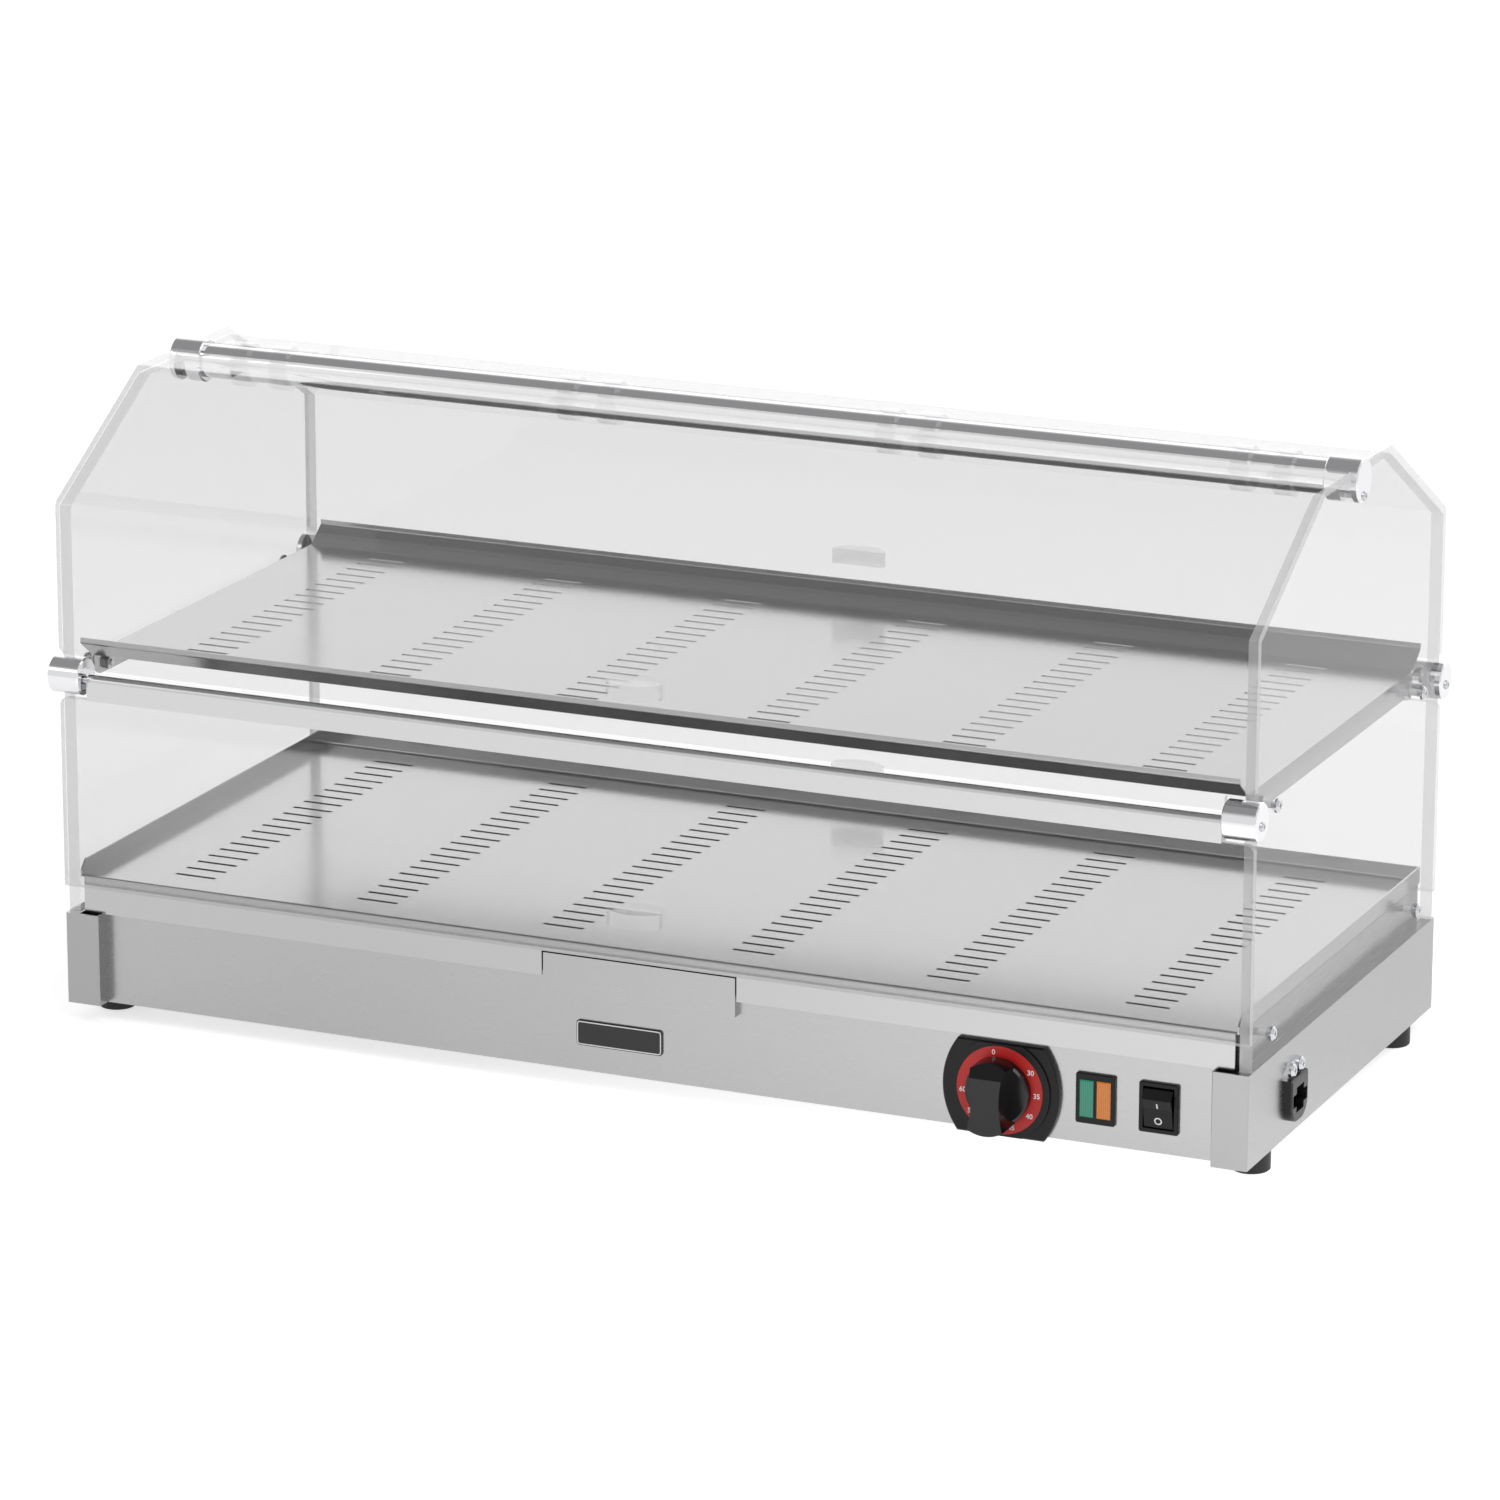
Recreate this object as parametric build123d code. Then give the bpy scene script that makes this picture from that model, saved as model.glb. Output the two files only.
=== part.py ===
from build123d import *
import os

# Heated pastry display case: a stainless base with a slotted warming tray, a slotted upper shelf
# between two clear side panes, and four clear doors, two at the front and two at the rear.
# Millimetres. +Z is up, the front faces -Y, and the origin is on the floor under the middle.

# Overall size
width = 800.0
depth = 346.4
height = 407.0
foot_height = 13.0
base_height = 60.0
shoulder_drop = 65.0
roof_depth = 124.0

# Sheet metal
sheet = 1.2
bend_radius = 1.5
post_width = 23.4
panel_recess = 10.5
flange = 12.0
base_flange = 15.0

# Clear panes
side_pane = 8.0
wall_gap = 0.2
door_pane = 5.0
pane_bend = 6.0
pane_gap = 0.7
door_floor_gap = 18.1
notch_gap = 1.7
notch_side_gap = 1.0
notch_chamfer = 3.5
corner_radius = 5.0

# Warming tray and upper shelf
tray_rise = 24.5
tray_gap = 0.5
tray_upstand = 9.5
lip_floor_gap = 0.3
lip_end = 2.5
upstand_chamfer = 6.0
tray_door_gap = 0.5
shelf_rise = 167.0
shelf_side_gap = 4.0
shelf_edge_gap = 7.7
lip_reach = 14.5
lip_height = 11.0
shelf_flange = 15.0
shelf_hem = 3.0
slot_length = 28.0
slot_width = 3.2
slot_pitch = 14.8
column_pitch = 129.3
columns = 6
tray_slots = 20
shelf_slots = 19

# Middle rails: rods that the lower doors hang from
rail_rise = 154.7
rail_rod = 2.5
rail_cap_radius = 12.0
rail_cap_lift = 2.6
rail_cap_length = 22.0
cap_overhang = 4.0
knuckle_radius = 4.0
profile_height = 16.2
profile_grip = 6.0
rod_clearance = 0.08
profile_end_gap = 2.0
door_above_rail = 3.9
corner_drop = 12.2

# Top tube: the upper doors hang from it
tube_drop = 8.3
tube_radius = 11.0
tube_wall = 1.5
top_cap_radius = 14.0
root_gap = 0.8
strap_wall = 3.0
strap_width = 12.0
strap_tab = 26.0
strap_clearance = 0.08
strap_end_inset = 45.0
strap_middle = 123.0
rear_strap_shift = 28.0
top_screw_drop = 9.6
rim_chamfer = 0.8
spigot_length = 10.0
screw_seat = 4.0
rod_seat = 3.0

# Screws and nuts
screw_radius = 2.0
screw_head_radius = 4.5
screw_head_height = 2.6
cap_screw_head_radius = 3.0
cap_screw_head_height = 1.3
hole_clearance = 0.2
nut_flats = 8.0
nut_height = 3.2
bolt_overrun = 1.0
bolt_inset = 38.2
side_bolt_rise = 15.6
shelf_bolt_drop = 9.2

# Door pulls
pull_width = 36.0
pull_depth = 13.0
pull_height = 10.0
pull_edge = 1.5
upper_pull_rise = 31.0
lower_pull_rise = 30.0

# Feet
foot_radius = 12.0
foot_chamfer = 0.8
foot_inset_x = 12.5
foot_inset_y = 42.7

# Controls on the front panel
dial_inset = 161.0
dial_rise = 27.5
dial_half_width = 38.0
dial_side_radius = 50.0
dial_flat = 29.7
dial_thickness = 4.0
dial_step_radius = 32.5
dial_step = 1.2
dial_chamfer = 1.0
dial_well_gap = 1.0
knob_radius = 20.5
knob_skirt = 7.0
knob_skirt_chamfer = 1.2
knob_height = 25.0
knob_grip_length = 44.0
knob_grip_width = 25.0
knob_waist = 18.0
knob_bevel = 8.0
knob_gap = 0.6
spindle_radius = 3.0
spindle_clearance = 0.08
spindle_hole_gap = 1.5
spindle_grip = 14.0
spindle_bearing = 12.0
thermostat_size = (44.0, 32.0, 32.0)
thermostat_corner = 3.0
cutout_width = 22.0
cutout_height = 28.5
bezel_width = 25.4
bezel_height = 32.0
bezel_thickness = 2.2
bezel_corner = 1.5
broken_edge = 0.6
lamp_inset = 100.4
switch_inset = 59.8
controls_rise = 29.0
lens_width = 9.0
lens_height = 23.5
lens_gap = 2.0
lens_proud = 1.0
housing_depth = 24.0
rocker_width = 18.4
rocker_height = 25.0
rocker_proud = 4.2
rocker_wall = 0.8
rocker_axle = 1.5
rocker_drop = 3.0
rocker_well = 14.0
axle_bearing = 0.4
axle_end_gap = 0.2

# Badge plate, left bare
badge_width = 58.6
badge_height = 16.6
badge_thickness = 1.5
badge_corner = 2.5
badge_x = -16.0
badge_rise = 25.0

# Water drawer
drawer_width = 130.0
drawer_front_height = 25.3
drawer_front_rise = 50.0
drawer_x = -1.0
drawer_gap = 1.0
drawer_pan_width = 114.0
drawer_pan_depth = 230.0
drawer_pan_height = 17.0
runner_height = 22.0
runner_gap = 0.5
runner_foot = 8.0

# Cable inlet on the right side
inlet_inset = 79.7
inlet_rise = 8.5
inlet_width = 29.0
inlet_height = 28.5
inlet_proud = 5.0
inlet_depth = 22.0
inlet_step = 1.0
inlet_chamfer = 1.0
mouth_width = 25.0
mouth_arm = 8.0
mouth_height = 16.0
mouth_stem = 13.0
mouth_rise = 14.5
clamp_height = 10.0
clamp_thickness = 1.5
clamp_chamfer = 7.0

# Heater under the tray
heater_radius = 4.2
heater_length = 240.0
heater_span = 180.0
heater_end_inset = 50.0
heater_drop = 9.0
bracket_width = 14.0
bracket_inset = 20.0
bracket_wall = 3.0
bulb_radius = 3.0
bulb_length = 80.0
bulb_offset = 22.0
terminal_width = 40.0
terminal_depth = 18.0
terminal_height = 16.0
terminal_inset = 50.0
terminal_offset = 40.0

# Levels and planes worked out from the sizes above
half_w = width / 2
half_d = depth / 2
base_z = foot_height
base_top = base_z + base_height
tray_z = base_top + tray_rise
rail_z = base_top + rail_rise
shelf_z = base_top + shelf_rise
shoulder_z = height - shoulder_drop
roof_z = height
half_roof = roof_depth / 2
tube_z = roof_z - tube_drop
pane_in_x = half_w - side_pane
pane_edge_y = half_d - door_pane - pane_gap
rail_y = half_d - door_pane / 2
cap_z = rail_z + rail_cap_lift
cap_out_x = half_w + cap_overhang
cap_in_x = cap_out_x - rail_cap_length
panel_y = half_d - panel_recess
lip_y = half_d - door_pane - tray_door_gap
wall_x = pane_in_x - wall_gap
door_bottom = base_top + door_floor_gap
upper_bottom = rail_z + knuckle_radius + door_above_rail
bolt_y = half_d - bolt_inset
side_bolt_z = base_top + side_bolt_rise
shelf_bolt_z = shelf_z - shelf_bolt_drop
shelf_half_x = pane_in_x - shelf_side_gap
shelf_tip = half_d - shelf_edge_gap
shelf_bend = shelf_tip - lip_reach
profile_half_x = cap_in_x - profile_end_gap
dial_x = half_w - dial_inset
lamp_x = half_w - lamp_inset
switch_x = half_w - switch_inset
inlet_y = inlet_inset - half_d
dial_z = base_z + dial_rise
controls_z = base_z + controls_rise
pan_z = base_z + drawer_front_rise + sheet + drawer_gap
drawer_front_top = base_z + drawer_front_rise + drawer_front_height
axle_half = rocker_width / 2 + rocker_wall + axle_bearing
strap_places = (strap_middle, half_w - strap_end_inset)
root_y = tube_radius + strap_clearance + strap_wall + root_gap
front = -1
rear = 1
left = -1
right = 1


def block(x0, x1, y0, y1, z0, z1):
    """A box between two corners, given in any order."""
    size = Box(abs(x1 - x0), abs(y1 - y0), abs(z1 - z0))
    return Pos((x0 + x1) / 2, (y0 + y1) / 2, (z0 + z1) / 2) * size


def rod_x(radius, x0, x1, y, z):
    """A round bar along X."""
    return Pos((x0 + x1) / 2, y, z) * Rot(0, 90, 0) * Cylinder(radius, abs(x1 - x0))


def rod_y(radius, y0, y1, x, z):
    """A round bar along Y."""
    return Pos(x, (y0 + y1) / 2, z) * Rot(90, 0, 0) * Cylinder(radius, abs(y1 - y0))


def rod_z(radius, z0, z1, x, y):
    """A round bar along Z."""
    return Pos(x, y, (z0 + z1) / 2) * Cylinder(radius, abs(z1 - z0))


def along_x(points, x0, x1):
    """A polygon of (y, z) points, drawn out along X."""
    face = Plane.YZ * make_face(Polyline(*points, close=True))
    return Pos(x0, 0, 0) * extrude(face, x1 - x0)


def along_y(points, y0, y1):
    """A polygon of (x, z) points, drawn out along Y."""
    face = Plane.XZ * make_face(Polyline(*points, close=True))
    return Pos(0, y0, 0) * extrude(face, y0 - y1)


def folded(points, x0, x1, thickness=sheet, radius=bend_radius, side=Side.LEFT):
    """Sheet folded along a path of (y, z) points, drawn out along X."""
    path = FilletPolyline(*points, radius=radius)
    face = Plane.YZ * make_face(offset(path, thickness, side=side))
    return Pos(x0, 0, 0) * extrude(face, x1 - x0)


def hexagon(flats, height):
    """A nut blank standing on the XY plane."""
    return extrude(RegularPolygon(flats / 2, 6, major_radius=False), height)


def pan_screw(length, head_radius=screw_head_radius, head_height=screw_head_height):
    """A pan-head screw along +X, its head's flat underside at the origin and the shank behind it."""
    head = rod_x(head_radius, 0, head_height, 0, 0)
    head = chamfer(head.edges().group_by(Axis.X)[-1], head_height * 0.5)
    return head + rod_x(screw_radius, -length, 0, 0, 0)


# Base


def base_side(side):
    """One side of the base: outer wall, corner posts, ledge for the side pane and an inner wall."""
    inner = wall_x - sheet
    reach = panel_y - sheet
    wall = block(half_w - sheet, half_w, -half_d, half_d, base_z, base_top)
    ledge = block(inner, half_w, -half_d, half_d, base_top - sheet, base_top)
    riser = block(inner, wall_x, -panel_y, panel_y, base_top - sheet, tray_z - sheet)
    top_flange = block(inner - flange, inner, -reach, reach, tray_z - 2 * sheet, tray_z - sheet)
    bottom_flange = block(half_w - base_flange, half_w, -reach, reach, base_z, base_z + sheet)
    body = wall + ledge + riser + top_flange + bottom_flange
    post_x = half_w - post_width
    for end in (front, rear):
        body += block(post_x, half_w, end * half_d, end * (half_d - sheet), base_z, base_top)
        body += block(post_x, post_x + sheet, end * half_d, end * panel_y, base_z, base_top)
    outer_edges = [
        edge
        for edge in body.edges().filter_by(Axis.Z)
        if abs(abs(edge.center().Y) - half_d) < 0.01
    ]
    body = fillet(outer_edges, sheet * 0.9)
    for end in (front, rear):
        body -= rod_x(screw_radius + hole_clearance, 0, half_w, end * bolt_y, side_bolt_z)
    if side == right:
        body -= inlet_hole()
        return body
    return mirror(body, about=Plane.YZ)


def base_panel():
    """A front or rear panel, narrower above the side panes' ledges, with two flanges."""
    low_x = half_w - sheet
    high_x = wall_x - sheet
    step_z = base_top - sheet
    top_z = tray_z - sheet
    outline = [
        (-low_x, base_z + sheet),
        (low_x, base_z + sheet),
        (low_x, step_z),
        (high_x, step_z),
        (high_x, top_z),
        (-high_x, top_z),
        (-high_x, step_z),
        (-low_x, step_z),
    ]
    body = along_y(outline, -panel_y, -panel_y + sheet)
    reach = half_w - base_flange - tray_gap
    body += block(-reach, reach, -panel_y, -panel_y + flange, base_z, base_z + sheet)
    reach = wall_x - sheet - flange - tray_gap
    body += block(-reach, reach, -panel_y, -panel_y + flange, top_z - sheet, top_z)
    return body


def control_cutout(x):
    """The opening that a snap-in housing is pushed through."""
    half = cutout_width / 2
    tall = cutout_height / 2
    return block(x - half, x + half, -half_d, -panel_y + 2 * sheet, controls_z - tall, controls_z + tall)


def base_front_panel():
    """Front panel with its cut-outs for the dial, lamps, switch and water drawer."""
    body = base_panel()
    body -= rod_y(spindle_radius + spindle_hole_gap, -half_d, -panel_y + 2 * sheet, dial_x, dial_z)
    body -= control_cutout(lamp_x)
    body -= control_cutout(switch_x)
    half = drawer_pan_width / 2 + runner_gap
    bottom = pan_z - runner_gap
    top = pan_z + drawer_pan_height + runner_gap
    body -= block(drawer_x - half, drawer_x + half, -half_d, -panel_y + 2 * sheet, bottom, top)
    return body


def base_rear_panel():
    """Plain rear panel."""
    return mirror(base_panel(), about=Plane.XZ)


def base_bottom_plate():
    """Bottom cover with two rows of vent slots; it lies on the flanges."""
    reach_x = half_w - sheet - tray_gap
    reach_y = panel_y - sheet - tray_gap
    z = base_z + sheet
    plate = block(-reach_x, reach_x, -reach_y, reach_y, z, z + sheet)
    vents = [
        Pos(x, y, z) * Box(slot_width, slot_length, 4 * sheet)
        for x in (i * column_pitch / 4 for i in range(-7, 8, 2))
        for y in (-column_pitch / 2, column_pitch / 2)
    ]
    return plate - vents


def foot(x, y):
    """A moulded round foot with a broken lower edge."""
    body = rod_z(foot_radius, 0, foot_height, x, y)
    return chamfer(body.edges().group_by(Axis.Z)[0], foot_chamfer)


# Tray and shelf


def slot_grid(count, z):
    """Columns of narrow slots that let the warm air through."""
    start = -(count - 1) / 2 * slot_pitch
    return [
        Pos((column - (columns - 1) / 2) * column_pitch, start + row * slot_pitch, z)
        * Box(slot_length, slot_width, 4 * sheet)
        for column in range(columns)
        for row in range(count)
    ]


def lower_tray():
    """Warming tray: front lip turned down, upstands at the sides and the rear."""
    lip_bottom = base_top + lip_floor_gap
    half_x = pane_in_x - tray_gap
    rear_y = lip_y - sheet
    profile = [
        (-lip_y, lip_bottom),
        (-lip_y, tray_z),
        (rear_y, tray_z),
        (rear_y, tray_z + tray_upstand),
    ]
    body = folded(profile, -half_x, half_x, side=Side.RIGHT)
    upstand = [
        (-lip_y, tray_z - sheet),
        (rear_y, tray_z - sheet),
        (rear_y, tray_z + tray_upstand),
        (-lip_y + upstand_chamfer, tray_z + tray_upstand),
        (-lip_y, tray_z + tray_upstand - upstand_chamfer),
    ]
    body += along_x(upstand, half_x - sheet, half_x)
    body += along_x(upstand, -half_x, -half_x + sheet)
    half = drawer_width / 2 + drawer_gap
    lip_back = -lip_y + sheet + bend_radius
    cut_top = drawer_front_top + drawer_gap
    body -= block(drawer_x - half, drawer_x + half, -half_d, lip_back, base_z, cut_top)
    for side in (left, right):
        body -= block(side * (half_x - lip_end), side * half_w, -half_d, lip_back, base_z, tray_z - sheet)
    return body - slot_grid(tray_slots, tray_z)


def upper_shelf():
    """Slotted shelf: lips leaning outwards at front and rear, side flanges with bolt holes."""
    tip_y = shelf_tip
    tip_z = shelf_z + lip_height
    path = [
        (-tip_y, tip_z + shelf_hem),
        (-tip_y, tip_z),
        (-shelf_bend, shelf_z),
        (shelf_bend, shelf_z),
        (tip_y, tip_z),
        (tip_y, tip_z + shelf_hem),
    ]
    body = folded(path, -shelf_half_x, shelf_half_x, side=Side.RIGHT)
    side_face = Plane.YZ * (Pos(0, shelf_z - shelf_flange / 2) * Rectangle(2 * shelf_bend, shelf_flange))
    flange_plate = extrude(side_face, sheet)
    flange_plate = fillet(flange_plate.edges().filter_by(Axis.X).group_by(Axis.Z)[0], shelf_flange * 0.6)
    body += Pos(shelf_half_x - sheet, 0, 0) * flange_plate
    body += Pos(-shelf_half_x, 0, 0) * flange_plate
    for end in (front, rear):
        body -= rod_x(screw_radius + hole_clearance, -half_w, half_w, end * bolt_y, shelf_bolt_z)
    return body - slot_grid(shelf_slots, shelf_z)


# Clear panes and doors


def case_outline():
    """The case's outer profile above the base, as (y, z) points from front to rear."""
    return [
        (-half_d, base_top),
        (-half_d, shoulder_z),
        (-half_roof, roof_z),
        (half_roof, roof_z),
        (half_d, shoulder_z),
        (half_d, base_top),
    ]


def side_pane_panel(side):
    """Side pane: it stands on the base's ledge, inside the doors, in the slots of the caps."""
    outer = make_face(Polyline(*case_outline(), close=True))
    inner = offset(outer, -(door_pane + pane_gap), kind=Kind.INTERSECTION)
    cut = Pos(0, base_top - half_d) * Rectangle(2 * depth, 2 * half_d)
    foot_strip = Pos(0, base_top + door_pane) * Rectangle(2 * pane_edge_y, 2 * door_pane)
    face = Plane.YZ * ((inner + foot_strip) - cut)
    body = Pos(pane_in_x, 0, 0) * extrude(face, side_pane)
    for end in (front, rear):
        body -= rod_x(screw_radius + hole_clearance, 0, width, end * bolt_y, side_bolt_z)
        body -= rod_x(screw_radius + hole_clearance, 0, width, end * bolt_y, shelf_bolt_z)
    body -= rod_x(screw_radius + hole_clearance, 0, width, 0, tube_z - top_screw_drop)
    if side == left:
        return mirror(body, about=Plane.YZ)
    return body


def upper_door(end):
    """Upper door, bent from one pane: upright front, slope and roof up to the top tube."""
    path = [
        (-half_d, upper_bottom),
        (-half_d, shoulder_z),
        (-half_roof, roof_z),
        (-root_y, roof_z),
    ]
    body = folded(path, -half_w, half_w, door_pane, pane_bend, Side.RIGHT)
    notch_x = cap_in_x - notch_side_gap
    notch_top = cap_z + rail_cap_radius + notch_gap
    for side in (left, right):
        notch = [
            (side * notch_x, 0),
            (side * notch_x, notch_top),
            (side * (half_w - notch_chamfer), notch_top),
            (side * half_w, notch_top + notch_chamfer),
            (side * width, notch_top + notch_chamfer),
            (side * width, 0),
        ]
        body -= along_y(notch, -width, -half_d + 2 * door_pane)
    return body if end == front else mirror(body, about=Plane.XZ)


def hinge_straps(end):
    """Clear straps that turn round the top tube and carry the upper door's roof edge."""
    shift = 0 if end == front else rear_strap_shift
    bore = tube_radius + strap_clearance
    ring = Cylinder(bore + strap_wall, strap_width) - Cylinder(bore, strap_width)
    inner_z = roof_z - door_pane
    straps = []
    for x in (side * (place - shift) for side in (left, right) for place in strap_places):
        strap = Pos(x, 0, tube_z) * Rot(0, 90, 0) * ring
        tab = block(x - strap_width / 2, x + strap_width / 2, -bore - strap_tab, -bore - strap_wall / 2,
                    inner_z - door_pane, inner_z)
        straps.append(strap + tab)
    group = Compound(children=straps)
    return group if end == front else mirror(group, about=Plane.XZ)


def lower_door(end):
    """Lower door: a flat pane whose top edge sits in the hinge profile."""
    profile_bottom = rail_z + knuckle_radius - profile_height
    top = profile_bottom + profile_grip
    corner_top = rail_z - corner_drop
    tongue_x = profile_half_x
    pane = Rectangle(width, corner_top - door_bottom)
    pane = fillet(pane.vertices().group_by(Axis.Y)[-1], corner_radius)
    face = Plane.XZ * (Pos(0, (corner_top + door_bottom) / 2) * pane)
    body = Pos(0, -half_d + door_pane, 0) * extrude(face, door_pane)
    body += block(-tongue_x, tongue_x, -half_d, -half_d + door_pane, corner_top - corner_radius, top)
    return body if end == front else mirror(body, about=Plane.XZ)


def hinge_profile(end):
    """Extruded hinge profile: a round knuckle on the rail rod over two walls that grip the pane."""
    bottom = rail_z + knuckle_radius - profile_height
    outer_y = -rail_y - knuckle_radius
    inner_y = -rail_y + knuckle_radius
    knuckle = rod_x(knuckle_radius, -profile_half_x, profile_half_x, -rail_y, rail_z)
    walls = block(-profile_half_x, profile_half_x, outer_y, inner_y, bottom, rail_z)
    groove = block(-width, width, -half_d, -half_d + door_pane, 0, bottom + profile_grip)
    bore = rod_x(rail_rod + rod_clearance, -width, width, -rail_y, rail_z)
    body = knuckle + walls - groove - bore
    return body if end == front else mirror(body, about=Plane.XZ)


def door_pull(end, z):
    """A clear D-shaped pull bonded to a door's face."""
    half = pull_width / 2
    arc_edge = ThreePointArc((half, -pull_depth * 0.35), (0, -pull_depth), (-half, -pull_depth * 0.35))
    sides = Polyline((-half, -pull_depth * 0.35), (-half, 0), (half, 0), (half, -pull_depth * 0.35))
    body = extrude(make_face(arc_edge + sides), pull_height)
    body = fillet(body.edges().filter_by(Axis.Z).group_by(Axis.Y)[0], pull_edge * 2)
    body = Pos(0, -half_d, z - pull_height / 2) * body
    return body if end == front else mirror(body, about=Plane.XZ)


# Rails, tube and caps


def rail_rod_bar(end):
    """Steel rod between the middle caps."""
    reach = cap_in_x + rod_seat
    return rod_x(rail_rod, -reach, reach, end * rail_y, rail_z)


def rail_cap(end, side):
    """Chrome end cap of a middle rail, slotted for the side pane and bored for the rod."""
    cap = rod_x(rail_cap_radius, cap_in_x, cap_out_x, -rail_y, cap_z)
    rims = cap.edges().filter_by(GeomType.CIRCLE)
    cap = chamfer(rims, rim_chamfer)
    cap -= block(pane_in_x, half_w, -pane_edge_y, 0, 0, roof_z)
    cap -= rod_x(rail_rod, 0, cap_in_x + rod_seat, -rail_y, rail_z)
    cap -= rod_x(screw_radius, 0, width, -rail_y, rail_z)
    if end == rear:
        cap = mirror(cap, about=Plane.XZ)
    return cap if side == right else mirror(cap, about=Plane.YZ)


def top_tube():
    """Chrome tube between the top caps."""
    reach = cap_in_x
    tube = rod_x(tube_radius, -reach, reach, 0, tube_z)
    return tube - rod_x(tube_radius - tube_wall, -width, width, 0, tube_z)


def top_cap(side):
    """Chrome end cap of the top tube, slotted from below for the side pane."""
    cap = rod_x(top_cap_radius, cap_in_x, cap_out_x, 0, tube_z)
    cap = chamfer(cap.edges().filter_by(GeomType.CIRCLE), rim_chamfer)
    cap += rod_x(tube_radius - tube_wall, cap_in_x - spigot_length, cap_in_x + tube_wall, 0, tube_z)
    pane_top = roof_z - door_pane - pane_gap
    cap -= block(pane_in_x, half_w, -half_d, half_d, 0, pane_top)
    cap -= rod_x(screw_radius, pane_in_x - screw_seat, width, 0, tube_z - top_screw_drop)
    return cap if side == right else mirror(cap, about=Plane.YZ)


def cap_screws():
    """The screws that close the six caps."""
    rail_screw = pan_screw(cap_out_x - cap_in_x - rod_seat, cap_screw_head_radius, cap_screw_head_height)
    top_screw = pan_screw(cap_out_x - pane_in_x + screw_seat, cap_screw_head_radius, cap_screw_head_height)
    screws = []
    for side in (left, right):
        turn = Rot(0, 0, 180) if side == left else Rot(0, 0, 0)
        for end in (front, rear):
            screws.append(Pos(side * cap_out_x, end * rail_y, rail_z) * turn * rail_screw)
        screws.append(Pos(side * cap_out_x, 0, tube_z - top_screw_drop) * turn * top_screw)
    return Compound(children=screws)


def side_pane_screws():
    """Screws that hold the side panes to the base's inner walls."""
    screws = []
    for side in (left, right):
        turn = Rot(0, 0, 180) if side == left else Rot(0, 0, 0)
        for end in (front, rear):
            length = side_pane + sheet + nut_height + bolt_overrun
            screws.append(Pos(side * half_w, end * bolt_y, side_bolt_z) * turn * pan_screw(length))
    return Compound(children=screws)


def nut(x, y, z, side):
    """A hexagon nut on a bolt along X, its outer face at x."""
    blank = hexagon(nut_flats, nut_height) - Cylinder(screw_radius, 4 * nut_height)
    return Pos(x, y, z) * Rot(0, -90 * side, 0) * blank


def side_pane_nuts():
    """Nuts behind the base's inner walls."""
    return Compound(children=[
        nut(side * (wall_x - sheet), end * bolt_y, side_bolt_z, side)
        for side in (left, right) for end in (front, rear)
    ])


def shelf_bolts():
    """Bolts through the side panes that carry the upper shelf."""
    bolts = []
    for side in (left, right):
        turn = Rot(0, 0, 180) if side == left else Rot(0, 0, 0)
        for end in (front, rear):
            length = side_pane + shelf_side_gap + sheet + nut_height + bolt_overrun
            bolts.append(Pos(side * half_w, end * bolt_y, shelf_bolt_z) * turn * pan_screw(length))
    return Compound(children=bolts)


def shelf_bolt_nuts():
    """A spacer nut in each gap between pane and shelf, and a nut inside the shelf's flange."""
    nuts = []
    for side in (left, right):
        for end in (front, rear):
            spacer = hexagon(nut_flats, shelf_side_gap) - Cylinder(screw_radius, 4 * nut_height)
            place = Pos(side * pane_in_x, end * bolt_y, shelf_bolt_z) * Rot(0, -90 * side, 0)
            nuts.append(place * spacer)
            nuts.append(nut(side * (shelf_half_x - sheet), end * bolt_y, shelf_bolt_z, side))
    return Compound(children=nuts)


# Controls


def dial_plate():
    """Dial plate with bowed sides, a flat top and bottom, a stepped face and a well for the knob."""
    shift = dial_side_radius - dial_half_width
    bowed = Pos(shift, 0) * Circle(dial_side_radius) & Pos(-shift, 0) * Circle(dial_side_radius)
    plate = extrude(bowed & Rectangle(2 * dial_half_width, 2 * dial_flat), dial_thickness)
    plate = chamfer(plate.edges().group_by(Axis.Z)[-1], dial_chamfer)
    step_outline = Circle(dial_step_radius) & Rectangle(2 * dial_half_width, 2 * dial_flat - dial_step)
    step = Pos(0, 0, dial_thickness) * extrude(step_outline, dial_step)
    well = Pos(0, 0, dial_thickness + dial_step) * Cylinder(knob_radius + dial_well_gap, 2 * dial_step)
    plate = plate + step - well
    plate -= Cylinder(spindle_radius + spindle_hole_gap, 4 * dial_thickness)
    return Pos(dial_x, -panel_y, dial_z) * Rot(90, 0, 0) * plate


def control_knob():
    """Thermostat knob: a round skirt under a waisted grip bar with a bevelled upper end."""
    skirt = Cylinder(knob_radius, knob_skirt, align=(Align.CENTER, Align.CENTER, Align.MIN))
    skirt = chamfer(skirt.edges().group_by(Axis.Z)[-1], knob_skirt_chamfer)
    half = knob_grip_length / 2
    hollow = (knob_grip_width - knob_waist) / 2
    scoop = (half**2 + hollow**2) / (2 * hollow)
    outline = Circle(half) & Rectangle(knob_grip_width, knob_grip_length)
    for side in (left, right):
        outline -= Pos(side * (knob_waist / 2 + scoop), 0) * Circle(scoop)
    grip = Pos(0, 0, knob_skirt / 2) * extrude(outline, knob_height - knob_skirt / 2)
    corner = [(half - knob_bevel, knob_height), (half, knob_height - knob_bevel), (half, knob_height)]
    grip -= along_x(corner, -half, half)
    body = skirt + grip - Cylinder(spindle_radius, 2 * spindle_grip)
    return Pos(dial_x, -panel_y - dial_thickness - knob_gap, dial_z) * Rot(90, 0, 0) * body


def thermostat_spindle():
    """Spindle that turns with the knob."""
    tip = -panel_y - dial_thickness - knob_gap - spindle_grip
    return rod_y(spindle_radius, tip, -panel_y + sheet + spindle_bearing, dial_x, dial_z)


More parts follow.
